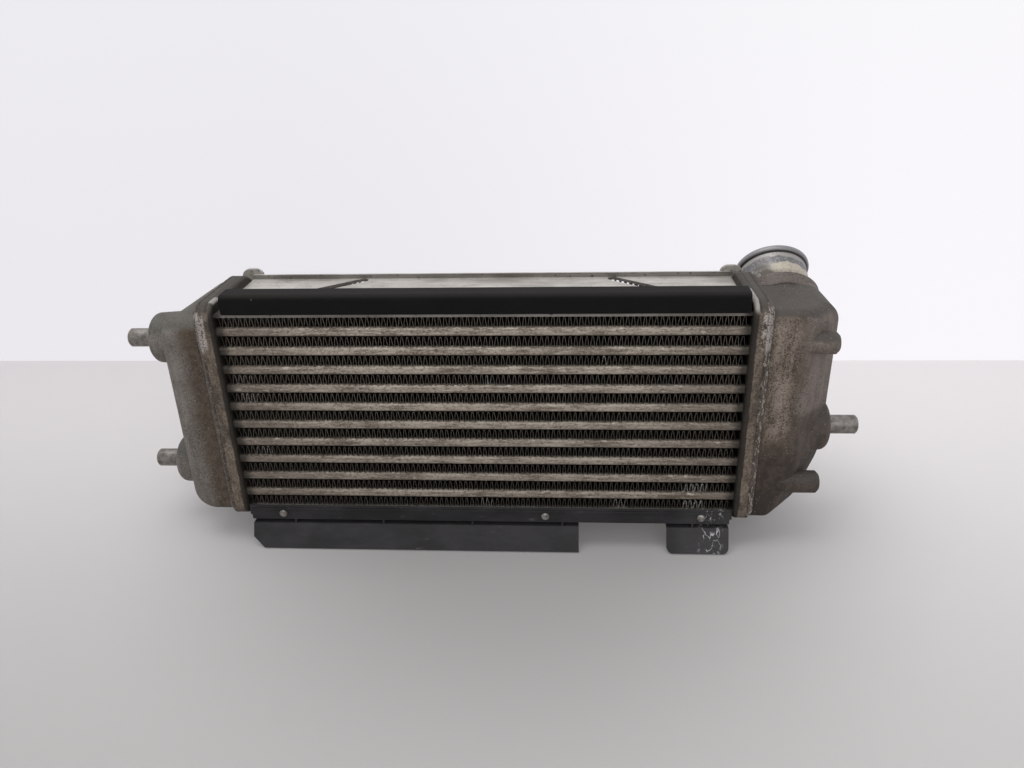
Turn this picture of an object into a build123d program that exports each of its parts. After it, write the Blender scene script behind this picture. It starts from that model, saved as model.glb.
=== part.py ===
from build123d import *
from math import cos, sin, radians, floor
import os

os.makedirs("parts", exist_ok=True)

# Charge-air cooler. Millimetres, +Z up, -Y is the side the cooling air meets first.
# The frame's origin is under the middle of the whole part, on the floor it stands on.

# ---- core: flat tubes with corrugated fins between them ----
tube_count = 10
tube_height = 7.15
tube_corner = 2.4
tube_wall = 0.5
tube_end_stand = 1.5
fin_height = 7.85
fin_pitch = 4.0
fin_crest = 1.1
fin_sheet = 0.25
fin_set_in = 0.3
braze_gap = 0.05
turbulator_pitch = 8.5
turbulator_crest = 2.6
turbulator_sheet = 0.3
turbulator_side_gap = 2.6
turbulator_end_gap = 1.0
core_depth = 86.0
core_width = 380.0
core_floor_height = 32.5

# ---- side plates ----
plate_thickness = 2.3
plate_lip_thickness = 2.0
plate_lip_height = 3.5
plate_slot_width = 8.5
plate_slot_near = 99.0
plate_slot_far = 136.0
plate_slot_back_gap = 6.5
plate_slot_front = 50.0
plate_down_lip = 7.0

# ---- header pans ----
header_sheet = 2.0
header_length = 9.5
header_overhang_height = 7.8
header_overhang_front = 4.0
header_overhang_back = 3.0
header_corner = 12.0
header_back_corner = 24.0
header_bend = 3.0
header_tab_inward = 8.0
header_tab_height = 18.0
header_tab_round = 6.5
slot_clearance = 0.1

# ---- cast tanks ----
tank_wall = 3.5
tank_front_step = 2.0
tank_back_step = 2.0
tank_bottom_inset = 0.5
bead_length = 5.5
bead_inset = 0.5
bead_chamfer = 3.2
left_reach_front = 39.4
left_reach_back = 27.2
left_top_drop_front = 14.3
left_top_drop_back = 5.3
left_top_round_front = 15.0
left_top_round_back = 25.0
left_bottom_round = 18.0
left_side_round = 11.0
right_reach = 56.7
right_top_drop = 8.3
right_top_round = 15.0
right_front_top_round = 12.0
right_slope_width = 22.0
right_slope_depth = 22.0
right_front_round = 7.0
right_back_round = 10.0
right_taper_start = 76.4
right_taper_reach = 38.5
right_taper_round = 70.0
right_bottom_round = 20.0
right_front_bottom_round = 10.0

# ---- mounting bosses and pins ----
left_boss_radius = 19.7
left_boss_reach = 58.2
left_boss_round = 5.0
left_boss_flare = 2.5
left_upper_boss_height = 161.0
left_lower_boss_height = 52.6
right_boss_radius = 19.6
right_boss_reach = 61.3
right_boss_round = 6.0
right_boss_flare = 5.0
right_boss_height = 92.0
right_boss_forward = 10.0
pin_radius = 7.25
pin_root = 18.0
pin_root_radius = 5.5
pin_hole_clearance = 0.1
pin_tip_chamfer = 1.2
left_pin_length = 21.7
right_pin_length = 23.3
right_pin_collar_radius = 9.0
right_pin_collar = 2.0

# ---- cast stubs on the right tank ----
stub_proud = 1.5
stub_cone_length = 12.0
stub_cone_rise = 4.0
stub_reach = 53.7
upper_stub_radius = 8.0
upper_stub_start = 19.5
upper_stub_height = 169.1
lower_stub_radius = 8.6
lower_stub_start = 11.5
lower_stub_height = 55.1
stub_round = 2.0

# ---- hose pipes ----
pipe_radius = 26.5
pipe_wall = 2.5
pipe_length = 29.5
pipe_bead_radius = 28.9
pipe_bead_length = 5.0
pipe_bead_round = 1.9
pipe_tilt = 32.0
pipe_clearance = 0.1
neck_radius = 32.0
neck_bore = 21.0
neck_edge_round = 2.5
neck_header_gap = 0.8
neck_blend_length = 26.0
neck_blend_taper = 18.0
outlet_neck_length = 18.0
inlet_neck_length = 52.0
outlet_out = 28.3
outlet_rim_back = 71.0
outlet_rim_height = 191.3
inlet_out = 23.2
inlet_rim_back = 118.0

# ---- foam seal ----
foam_left = 183.7
foam_right = 188.3
foam_height = 14.3
foam_depth = 20.0
foam_proud = 1.0
foam_round = 4.0

# ---- air deflector ----
deflector_proud = 3.0
deflector_left = 187.4
deflector_right = 187.8
flange_height = 11.5
flange_ridge_height = 1.2
flange_ridge_proud = 0.8
flange_ridge_drop = 1.9
channel_height = 3.8
channel_back = 6.0
channel_wall = 2.0
flap_thickness = 2.5
flap_lean = 24.0
long_flap_end = 72.4
short_flap_start = 140.5
flap_chamfer = 9.0
flap_round = 5.0
rib_thickness = 1.5
long_flap_ribs = (-152.8, -81.9, -11.0, 59.6)
short_flap_ribs = (159.8,)

# ---- rivets ----
rivet_head_radius = 3.2
rivet_head_height = 1.6
rivet_shank_radius = 2.0
rivet_hole_clearance = 0.1
rivet_height = 28.7
rivet_places = {"left": -161.8, "middle": 46.4, "right": 165.9}

# ---- sizes that follow from those above ----
half_width = core_width / 2
weld_plane = half_width + header_length
stack_pitch = tube_height + fin_height
fin_rows = tube_count + 1
lower_plate_top = core_floor_height + plate_thickness
core_top = lower_plate_top + fin_rows * fin_height + tube_count * tube_height
upper_plate_top = core_top + plate_thickness
header_bottom = core_floor_height - header_overhang_height
header_top = upper_plate_top + header_overhang_height
header_height = header_top - header_bottom
header_middle = (header_top + header_bottom) / 2
tank_bottom = header_bottom + tank_bottom_inset
flange_bottom = lower_plate_top - flange_height
flap_top = flange_bottom - channel_height
lean = radians(flap_lean)
flap_length = (flap_top - flap_thickness * sin(lean)) / cos(lean)
tilt = radians(pipe_tilt)
bead_core_radius = pipe_bead_radius - pipe_bead_round
inlet_rim_height = bead_core_radius * cos(tilt) + pipe_bead_round * (1 - sin(tilt))

# ---- where the core sits so that the whole part is centred on the origin ----
left_extent = weld_plane + left_boss_reach + left_pin_length
right_extent = weld_plane + right_boss_reach + right_pin_length
core_x = (left_extent - right_extent) / 2
front_extent = core_depth / 2 + deflector_proud + flap_length * sin(lean)
back_extent = inlet_rim_back + bead_core_radius * sin(tilt) + pipe_bead_round * (1 - cos(tilt))
core_y = (front_extent - back_extent) / 2
core_front = core_y - core_depth / 2
core_back = core_y + core_depth / 2
header_front = core_front - header_overhang_front
header_back = core_back + header_overhang_back
header_y = (header_front + header_back) / 2
header_depth = header_back - header_front
tank_front = core_front + tank_front_step
tank_back = core_back + tank_back_step
left_weld = core_x - weld_plane
right_weld = core_x + weld_plane
right_boss_y = core_y - right_boss_forward


def finish(builder, name):
    """Label a piece and write it out."""
    builder.part.label = name
    export_step(builder.part, f"parts/{name}.step")


def wave(length, height, pitch, crest, sheet):
    """Corner points of a folded strip centred on the origin, one closed outline."""
    folds = 2 * int(floor(length / pitch))
    run = pitch / 2
    start = -folds * run / 2
    half = height / 2
    upper = []
    lower = []
    for fold in range(folds):
        near = start + fold * run
        outer = half if fold % 2 == 0 else -half
        inner = outer - sheet if fold % 2 == 0 else outer + sheet
        grow = sheet * 0.55
        wide = ((near + run / 2 - crest / 2, outer), (near + run / 2 + crest / 2, outer))
        slim = ((near + run / 2 - crest / 2 + grow, inner), (near + run / 2 + crest / 2 - grow, inner))
        upper.extend(wide if fold % 2 == 0 else slim)
        lower.extend(slim if fold % 2 == 0 else wide)
    return upper + lower[::-1]


def pipe_plane(x, back, height, direction):
    """Plane across a pipe at its rim, facing out of the pipe. direction is +1 up, -1 down."""
    return Plane(
        origin=(x, core_y + back, height),
        x_dir=(1, 0, 0),
        z_dir=(0, cos(tilt), direction * sin(tilt)),
    )


# ---- core ----
for number in range(tube_count):
    tube_z = core_top - fin_height - tube_height / 2 - number * stack_pitch
    tube_plane = Plane.YZ.offset(core_x)
    with BuildPart() as tube:
        with BuildSketch(tube_plane):
            with Locations((core_y, tube_z)):
                RectangleRounded(core_depth, tube_height, tube_corner)
                RectangleRounded(
                    core_depth - 2 * tube_wall, tube_height - 2 * tube_wall,
                    tube_corner - tube_wall, mode=Mode.SUBTRACT,
                )
        extrude(amount=half_width + header_sheet + tube_end_stand, both=True)
    finish(tube, f"tube_{number + 1:02d}")

    with BuildPart() as turbulator:
        with BuildSketch(Plane(origin=(core_x, core_y, tube_z), x_dir=(0, 1, 0), z_dir=(1, 0, 0))):
            with BuildLine():
                Polyline(
                    wave(core_depth - 2 * turbulator_side_gap,
                         tube_height - 2 * (tube_wall + braze_gap),
                         turbulator_pitch, turbulator_crest, turbulator_sheet),
                    close=True,
                )
            make_face()
        extrude(amount=half_width - turbulator_end_gap, both=True)
    finish(turbulator, f"turbulator_{number + 1:02d}")

for number in range(fin_rows):
    fin_z = core_top - fin_height / 2 - number * stack_pitch
    with BuildPart() as fin:
        with BuildSketch(Plane(origin=(core_x, core_y, fin_z), x_dir=(1, 0, 0), z_dir=(0, -1, 0))):
            with BuildLine():
                Polyline(
                    wave(core_width, fin_height - 2 * braze_gap, fin_pitch, fin_crest, fin_sheet),
                    close=True,
                )
            make_face()
        extrude(amount=core_depth / 2 - fin_set_in, both=True)
    finish(fin, f"fin_{number + 1:02d}")

# ---- side plates ----
with BuildPart() as top_side_plate:
    with BuildSketch(Plane.YZ.offset(core_x)):
        with BuildLine():
            Polyline(
                (core_front, core_top),
                (core_back, core_top),
                (core_back, upper_plate_top + plate_lip_height),
                (core_back - plate_lip_thickness, upper_plate_top + plate_lip_height),
                (core_back - plate_lip_thickness, upper_plate_top),
                (core_front, upper_plate_top),
                close=True,
            )
        make_face()
    extrude(amount=half_width, both=True)
    with BuildSketch(Plane.XY.offset(core_top)):
        for side in (-1, 1):
            near = (core_x + side * plate_slot_near, core_back - plate_slot_back_gap)
            far = (core_x + side * plate_slot_far, core_front + plate_slot_front)
            middle = ((near[0] + far[0]) / 2, (near[1] + far[1]) / 2)
            SlotCenterPoint(middle, far, plate_slot_width)
    extrude(amount=plate_thickness, mode=Mode.SUBTRACT)
finish(top_side_plate, "top_side_plate")

with BuildPart() as bottom_side_plate:
    with BuildSketch(Plane.YZ.offset(core_x)):
        with BuildLine():
            Polyline(
                (core_front, lower_plate_top),
                (core_back, lower_plate_top),
                (core_back, core_floor_height),
                (core_front + plate_lip_thickness, core_floor_height),
                (core_front + plate_lip_thickness, core_floor_height - plate_down_lip),
                (core_front, core_floor_height - plate_down_lip),
                close=True,
            )
        make_face()
    extrude(amount=half_width, both=True)
    with BuildSketch(Plane.XZ.offset(-core_front)):
        with Locations(*[(core_x + place, rivet_height) for place in rivet_places.values()]):
            Circle(rivet_shank_radius + rivet_hole_clearance)
    extrude(amount=-plate_lip_thickness, mode=Mode.SUBTRACT)
finish(bottom_side_plate, "bottom_side_plate")

# ---- header pans ----
def pan_outline(x, inset):
    """Outline of a header pan at x, drawn in by inset; its back corners are rounder."""
    with BuildSketch(Plane.YZ.offset(x)) as outline:
        with Locations((header_y, header_middle)):
            Rectangle(header_depth - 2 * inset, header_height - 2 * inset)
        fillet(outline.vertices().group_by(Axis.X)[0], radius=header_corner - inset)
        fillet(outline.vertices().group_by(Axis.X)[-1], radius=header_back_corner - inset)
    return outline.sketch


for side, name in ((-1, "left_header"), (1, "right_header")):
    sheet_plane = Plane.YZ.offset(core_x + side * half_width)
    with BuildPart() as header:
        extrude(pan_outline(core_x + side * half_width, 0), amount=side * header_length)
        sheet_face = header.faces().sort_by(Axis.X)[0 if side > 0 else -1]
        fillet(sheet_face.edges(), radius=header_bend)
        with BuildSketch(Plane.XZ.offset(-header_back)) as tab:
            with Locations((core_x + side * (half_width + (header_length - header_tab_inward) / 2),
                            header_top - header_tab_height / 2)):
                Rectangle(header_length + header_tab_inward, header_tab_height)
            fillet(tab.vertices().group_by(Axis.Y)[-1], radius=header_tab_round)
        extrude(amount=header_overhang_back)
        hollow = pan_outline(core_x + side * (half_width + header_sheet), header_sheet)
        extrude(hollow, amount=side * (header_length - header_sheet), mode=Mode.SUBTRACT)
        with BuildSketch(sheet_plane):
            for number in range(tube_count):
                tube_z = core_top - fin_height - tube_height / 2 - number * stack_pitch
                with Locations((core_y, tube_z)):
                    RectangleRounded(
                        core_depth + 2 * slot_clearance, tube_height + 2 * slot_clearance,
                        tube_corner + slot_clearance,
                    )
        extrude(amount=side * header_sheet, mode=Mode.SUBTRACT)
    finish(header, name)


def left_casting(inset):
    """Left tank block, or its hollow when inset is the wall thickness."""
    with BuildPart() as block:
        for y, reach, drop, top_round in (
            (tank_front + inset, left_reach_front, left_top_drop_front, left_top_round_front),
            (tank_back - inset, left_reach_back, left_top_drop_back, left_top_round_back),
        ):
            outer = left_weld - reach + inset
            top = header_top - drop - inset
            bottom = tank_bottom + inset
            with BuildSketch(Plane.XZ.offset(-y)) as section:
                with BuildLine():
                    Polyline(
                        (left_weld, bottom), (left_weld, top), (outer, top), (outer, bottom),
                        close=True,
                    )
                make_face()
                upper_corner = section.vertices().group_by(Axis.X)[0].sort_by(Axis.Y)[-1]
                fillet(upper_corner, radius=top_round - inset)
                lower_corner = section.vertices().group_by(Axis.X)[0].sort_by(Axis.Y)[0]
                fillet(lower_corner, radius=left_bottom_round - inset)
        loft()
        for end in (0, -1):
            side_face = block.faces().sort_by(Axis.Y)[end]
            rim = side_face.edges().filter_by(lambda edge: edge.center().X < left_weld - 0.01)
            fillet(rim, radius=left_side_round - inset)
    return block.part


def right_profile(y, inset, set_in, top_round, bottom_round):
    """Right tank's outline across Y, drawn in by inset, its outer edge moved in by set_in."""
    outer = right_weld + right_reach - set_in - inset
    taper_end = right_weld + right_taper_reach - set_in - inset
    top = header_top - right_top_drop - inset
    bottom = tank_bottom + inset
    with BuildSketch(Plane.XZ.offset(-y)) as section:
        with BuildLine():
            Polyline(
                (right_weld, bottom), (right_weld, top), (outer, top),
                (outer, right_taper_start), (taper_end, bottom),
                close=True,
            )
        make_face()
        fillet(section.vertices().sort_by(Axis.X)[-2:].sort_by(Axis.Y)[-1],
               radius=top_round - inset)
        fillet(section.vertices().group_by(Axis.X)[-1].sort_by(Axis.Y)[0],
               radius=right_taper_round)
        fillet(section.vertices().group_by(Axis.Y)[0].sort_by(Axis.X)[-1],
               radius=bottom_round - inset)
    return section.sketch


def right_casting(inset):
    """Right tank block with a slope along its outer front edge, or its hollow."""
    slope_end = tank_front + right_slope_depth + inset / 2
    with BuildPart() as block:
        add(right_profile(tank_front + inset, inset, right_slope_width,
                          right_front_top_round, right_front_bottom_round))
        add(right_profile(slope_end, inset, 0, right_top_round, right_bottom_round))
        loft(ruled=True)
        extrude(right_profile(slope_end, inset, 0, right_top_round, right_bottom_round),
                amount=-(tank_back - inset - slope_end))
        for end, radius in ((0, right_front_round), (-1, right_back_round)):
            side_face = block.faces().sort_by(Axis.Y)[end]
            rim = side_face.edges().filter_by(lambda edge: edge.center().X > right_weld + 0.01)
            fillet(rim, radius=radius - inset)
    return block.part


def bead_plate(side, weld):
    """Foot of a tank that meets the header's rim, with its outer edge sloped like a weld."""
    with BuildPart() as foot:
        extrude(pan_outline(weld, bead_inset), amount=side * bead_length)
        far_face = foot.faces().sort_by(Axis.X)[0 if side < 0 else -1]
        chamfer(far_face.edges(), length=bead_chamfer)
    return foot.part


def boss(side, base, y, height, radius, reach, flare, rounding):
    """Solid round boss from the tank's wall out to its flat end."""
    with BuildPart() as stud:
        with BuildSketch(Plane.YZ.offset(base)):
            with Locations((y, height)):
                Circle(radius + flare)
        with BuildSketch(Plane.YZ.offset(reach - side * rounding)):
            with Locations((y, height)):
                Circle(radius)
        loft()
        with BuildSketch(Plane.YZ.offset(reach - side * rounding)):
            with Locations((y, height)):
                Circle(radius)
        extrude(amount=side * rounding)
        end_face = stud.faces().sort_by(Axis.X)[0 if side < 0 else -1]
        fillet(end_face.edges(), radius=rounding * 0.98)
    return stud.part


def stub(height, radius, start):
    """Solid round stub that grows out of the right tank's front and ends past its outer side."""
    y = tank_front + radius - stub_proud
    with BuildPart() as stud:
        with BuildSketch(Plane.YZ.offset(right_weld + start)):
            with Locations((y, height)):
                Circle(radius - stub_cone_rise)
        with BuildSketch(Plane.YZ.offset(right_weld + start + stub_cone_length)):
            with Locations((y, height)):
                Circle(radius)
        loft()
        with BuildSketch(Plane.YZ.offset(right_weld + start + stub_cone_length)):
            with Locations((y, height)):
                Circle(radius)
        extrude(amount=stub_reach - start - stub_cone_length)
        chamfer(stud.faces().sort_by(Axis.X)[-1].edges(), length=stub_round)
    return stud.part


# ---- left tank: cast box with two bosses and the inlet neck ----
left_boss_end = left_weld - left_boss_reach
left_boss_heights = (left_upper_boss_height, left_lower_boss_height)
inlet_plane = pipe_plane(left_weld - inlet_out, inlet_rim_back, inlet_rim_height, -1)
with BuildPart() as left_tank:
    with BuildSketch(inlet_plane.offset(-pipe_length)):
        Circle(neck_radius)
    extrude(amount=-inlet_neck_length)
    fillet(left_tank.edges().sort_by(Axis.Y)[-1], radius=neck_edge_round)
    with BuildSketch(inlet_plane.offset(-pipe_length - inlet_neck_length)):
        Circle(neck_radius)
    extrude(amount=-neck_blend_length, taper=neck_blend_taper)
    with Locations((left_weld + 50 - neck_header_gap, header_back - 50 + neck_header_gap, header_middle)):
        Box(100, 100, header_height * 2, mode=Mode.SUBTRACT)
    add(left_casting(0))
    for height in left_boss_heights:
        add(boss(-1, left_weld - left_reach_back / 2, core_y, height, left_boss_radius,
                 left_boss_end, left_boss_flare, left_boss_round))
    add(bead_plate(-1, left_weld))
    add(left_casting(tank_wall), mode=Mode.SUBTRACT)
    with BuildSketch(Plane.YZ.offset(left_weld)):
        with Locations((core_y + (tank_front_step + tank_back_step) / 2, header_middle)):
            RectangleRounded(
                core_depth - 2 * tank_wall, core_top - core_floor_height - 2 * tank_wall, 5,
            )
    extrude(amount=-bead_length, mode=Mode.SUBTRACT)
    with BuildSketch(inlet_plane.offset(-pipe_length)):
        Circle(neck_bore)
    extrude(amount=-(inlet_neck_length + neck_blend_length - tank_wall), mode=Mode.SUBTRACT)
    with BuildSketch(Plane.YZ.offset(left_boss_end)):
        for height in left_boss_heights:
            with Locations((core_y, height)):
                Circle(pin_root_radius + pin_hole_clearance)
    extrude(amount=pin_root, mode=Mode.SUBTRACT)
finish(left_tank, "left_tank")

# ---- right tank: cast box with one boss, two stubs and the outlet neck ----
right_boss_end = right_weld + right_boss_reach
outlet_plane = pipe_plane(right_weld + outlet_out, outlet_rim_back, outlet_rim_height, 1)
with BuildPart() as right_tank:
    with BuildSketch(outlet_plane.offset(-pipe_length)):
        Circle(neck_radius)
    extrude(amount=-outlet_neck_length)
    fillet(right_tank.edges().sort_by(Axis.Y)[-1], radius=neck_edge_round)
    with BuildSketch(outlet_plane.offset(-pipe_length - outlet_neck_length)):
        Circle(neck_radius)
    extrude(amount=-neck_blend_length, taper=neck_blend_taper)
    with Locations((right_weld - 50 + neck_header_gap, header_back - 50 + neck_header_gap, header_middle)):
        Box(100, 100, header_height * 2, mode=Mode.SUBTRACT)
    add(right_casting(0))
    add(boss(1, right_weld + right_reach / 2, right_boss_y, right_boss_height, right_boss_radius,
             right_boss_end, right_boss_flare, right_boss_round))
    add(stub(upper_stub_height, upper_stub_radius, upper_stub_start))
    add(stub(lower_stub_height, lower_stub_radius, lower_stub_start))
    add(bead_plate(1, right_weld))
    add(right_casting(tank_wall), mode=Mode.SUBTRACT)
    with BuildSketch(Plane.YZ.offset(right_weld)):
        with Locations((core_y + (tank_front_step + tank_back_step) / 2, header_middle)):
            RectangleRounded(
                core_depth - 2 * tank_wall, core_top - core_floor_height - 2 * tank_wall, 5,
            )
    extrude(amount=bead_length, mode=Mode.SUBTRACT)
    with BuildSketch(outlet_plane.offset(-pipe_length)):
        Circle(pipe_radius + pipe_clearance)
    extrude(amount=pipe_length, mode=Mode.SUBTRACT)
    with BuildSketch(outlet_plane.offset(-pipe_length)):
        Circle(neck_bore)
    extrude(amount=-(outlet_neck_length + neck_blend_length - tank_wall), mode=Mode.SUBTRACT)
    with BuildSketch(Plane.YZ.offset(right_boss_end)):
        with Locations((right_boss_y, right_boss_height)):
            Circle(pin_root_radius + pin_hole_clearance)
    extrude(amount=-pin_root, mode=Mode.SUBTRACT)
finish(right_tank, "right_tank")

# ---- steel pins pressed into the bosses ----
for name, side, boss_end, y, height, length, collar, collar_radius in (
    ("left_upper_pin", -1, left_boss_end, core_y, left_upper_boss_height, left_pin_length, 0, 0),
    ("left_lower_pin", -1, left_boss_end, core_y, left_lower_boss_height, left_pin_length, 0, 0),
    ("right_pin", 1, right_boss_end, right_boss_y, right_boss_height, right_pin_length,
     right_pin_collar, right_pin_collar_radius),
):
    with BuildPart() as pin:
        with BuildSketch(Plane.YZ.offset(boss_end)):
            with Locations((y, height)):
                Circle(pin_radius)
        extrude(amount=side * length)
        tip = pin.faces().sort_by(Axis.X)[0 if side < 0 else -1]
        chamfer(tip.edges(), length=pin_tip_chamfer)
        with BuildSketch(Plane.YZ.offset(boss_end)):
            with Locations((y, height)):
                Circle(pin_root_radius)
        extrude(amount=-side * pin_root)
        if collar > 0:
            with BuildSketch(Plane.YZ.offset(boss_end)):
                with Locations((y, height)):
                    Circle(collar_radius)
            extrude(amount=side * collar)
    finish(pin, name)

# ---- hose pipes with a rolled bead at the rim ----
for name, plane, side, weld in (
    ("outlet_pipe", outlet_plane, 1, right_weld),
    ("inlet_pipe", inlet_plane, -1, left_weld),
):
    with BuildPart() as pipe:
        with BuildSketch(plane):
            Circle(pipe_bead_radius)
        extrude(amount=-pipe_bead_length)
        fillet(pipe.edges(), radius=pipe_bead_round)
        with BuildSketch(plane):
            Circle(pipe_radius)
        extrude(amount=-pipe_length)
        with BuildSketch(plane):
            Circle(pipe_radius - pipe_wall)
        extrude(amount=-pipe_length, mode=Mode.SUBTRACT)
        with Locations((weld - side * (50 - neck_header_gap), header_back - 50 + neck_header_gap,
                        header_middle)):
            Box(100, 100, header_height * 2, mode=Mode.SUBTRACT)
    finish(pipe, name)

# ---- foam seal along the front of the top plate ----
with BuildPart() as foam_seal:
    with BuildSketch(Plane.YZ.offset(core_x - foam_left)) as foam_section:
        with Locations((core_front - foam_proud + foam_depth / 2, upper_plate_top + foam_height / 2)):
            Rectangle(foam_depth, foam_height)
        fillet(foam_section.vertices().group_by(Axis.Y)[-1], radius=foam_round)
    extrude(amount=foam_left + foam_right)
finish(foam_seal, "foam_seal")

# ---- plastic air deflector: flange, channels with ribs, and two leaning flaps ----
flange_front = core_front - deflector_proud
flap_spans = (
    (-deflector_left, long_flap_end, long_flap_ribs),
    (short_flap_start, deflector_right, short_flap_ribs),
)
flap_plane = Plane(
    origin=(core_x, flange_front, flap_top), x_dir=(1, 0, 0), z_dir=(0, -cos(lean), sin(lean)),
)
with BuildPart() as air_deflector:
    deflector_middle = core_x + (deflector_right - deflector_left) / 2
    deflector_length = deflector_right + deflector_left
    with BuildSketch(Plane.XZ.offset(-core_front)):
        with Locations((deflector_middle, flange_bottom + flange_height / 2)):
            Rectangle(deflector_length, flange_height)
    extrude(amount=deflector_proud)
    with BuildSketch(Plane.XZ.offset(-flange_front)):
        with Locations((deflector_middle, lower_plate_top - flange_ridge_drop)):
            Rectangle(deflector_length, flange_ridge_height)
    extrude(amount=flange_ridge_proud)
    for start, end, ribs in flap_spans:
        with BuildSketch(Plane.YZ.offset(core_x + start)):
            with BuildLine():
                Polyline(
                    (flange_front, flange_bottom),
                    (flange_front, flange_bottom + channel_wall),
                    (core_front + channel_back, flange_bottom + channel_wall),
                    (core_front + channel_back, flap_top - channel_wall),
                    (flange_front, flap_top - channel_wall),
                    (flange_front, flap_top),
                    (core_front + channel_back - channel_wall, flap_top),
                    (core_front + channel_back - channel_wall, flange_bottom),
                    close=True,
                )
            make_face()
        extrude(amount=end - start)
        with BuildSketch(Plane.XZ.offset(-core_front - channel_back)):
            for place in ribs:
                with Locations((core_x + place, flap_top + channel_height / 2)):
                    Rectangle(rib_thickness, channel_height)
        extrude(amount=deflector_proud + channel_back)
    with BuildSketch(flap_plane):
        with BuildLine():
            Polyline(
                (-deflector_left, 0),
                (long_flap_end, 0),
                (long_flap_end, -flap_length),
                (-deflector_left + flap_chamfer, -flap_length),
                (-deflector_left, -flap_length + flap_chamfer),
                close=True,
            )
        make_face()
    extrude(amount=-flap_thickness)
    with BuildSketch(flap_plane) as short_flap:
        with Locations(((short_flap_start + deflector_right) / 2, -flap_length / 2)):
            Rectangle(deflector_right - short_flap_start, flap_length)
        fillet(short_flap.vertices().group_by(Axis.Y)[0], radius=flap_round)
    extrude(amount=-flap_thickness)
    with BuildSketch(Plane.XZ.offset(-core_front)):
        with Locations(*[(core_x + place, rivet_height) for place in rivet_places.values()]):
            Circle(rivet_shank_radius + rivet_hole_clearance)
    extrude(amount=deflector_proud + flange_ridge_proud, mode=Mode.SUBTRACT)
finish(air_deflector, "air_deflector")

# ---- rivets through the deflector's flange and the bottom plate's lip ----
for place_name, place in rivet_places.items():
    with BuildPart() as rivet:
        with BuildSketch(Plane.XZ.offset(-flange_front)):
            with Locations((core_x + place, rivet_height)):
                Circle(rivet_head_radius)
        extrude(amount=rivet_head_height)
        fillet(rivet.edges().sort_by(Axis.Y)[0], radius=rivet_head_height * 0.9)
        with BuildSketch(Plane.XZ.offset(-flange_front)):
            with Locations((core_x + place, rivet_height)):
                Circle(rivet_shank_radius)
        extrude(amount=-(deflector_proud + plate_lip_thickness + 1))
        with BuildSketch(Plane.XZ.offset(-core_front - plate_lip_thickness)):
            with Locations((core_x + place, rivet_height)):
                Circle(rivet_head_radius * 0.9)
        extrude(amount=-1.2)
    finish(rivet, f"rivet_{place_name}")
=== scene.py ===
"""Dresses a charge-air cooler's CAD frame: finishes, folded fins, welds, floor and lights."""

import logging
import math
import random
from dataclasses import dataclass
from enum import Enum
from typing import Any, Iterable, Sequence, Union

import bpy
from mathutils import Matrix, Vector


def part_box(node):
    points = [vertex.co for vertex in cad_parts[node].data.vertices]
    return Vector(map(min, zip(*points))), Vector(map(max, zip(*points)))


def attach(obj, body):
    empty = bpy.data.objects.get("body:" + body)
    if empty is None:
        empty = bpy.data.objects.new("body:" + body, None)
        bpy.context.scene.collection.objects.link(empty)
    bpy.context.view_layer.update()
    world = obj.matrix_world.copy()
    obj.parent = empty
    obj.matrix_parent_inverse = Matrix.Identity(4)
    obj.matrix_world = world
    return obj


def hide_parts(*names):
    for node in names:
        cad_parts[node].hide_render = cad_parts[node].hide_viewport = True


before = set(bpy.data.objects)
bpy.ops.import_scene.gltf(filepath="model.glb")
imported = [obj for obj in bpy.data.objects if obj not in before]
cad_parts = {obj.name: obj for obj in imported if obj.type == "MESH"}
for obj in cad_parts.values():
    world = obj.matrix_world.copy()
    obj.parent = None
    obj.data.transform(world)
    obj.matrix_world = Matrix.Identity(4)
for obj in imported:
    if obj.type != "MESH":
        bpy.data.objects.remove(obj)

LOG = logging.getLogger("charge_air_cooler")
ROOT = "root"
MM = 0.001

Colour = tuple[float, float, float]
Point = tuple[float, float, float]
Number = Union[float, "Value"]


def tone(red: int, green: int, blue: int) -> Colour:
    """A colour as a screen shows it.

    Args:
        red: Red level, from 0 to 255.
        green: Green level, from 0 to 255.
        blue: Blue level, from 0 to 255.

    Returns:
        The colour as linear light, each channel from 0 to 1.
    """
    def linear(level: int) -> float:
        """One channel as light."""
        share = level / 255
        return share / 12.92 if share <= 0.04045 else ((share + 0.055) / 1.055) ** 2.4
    return linear(red), linear(green), linear(blue)


class Slot(Enum):
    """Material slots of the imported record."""

    TANK = "cast_tank"
    FIN = "fin_metal"


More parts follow.
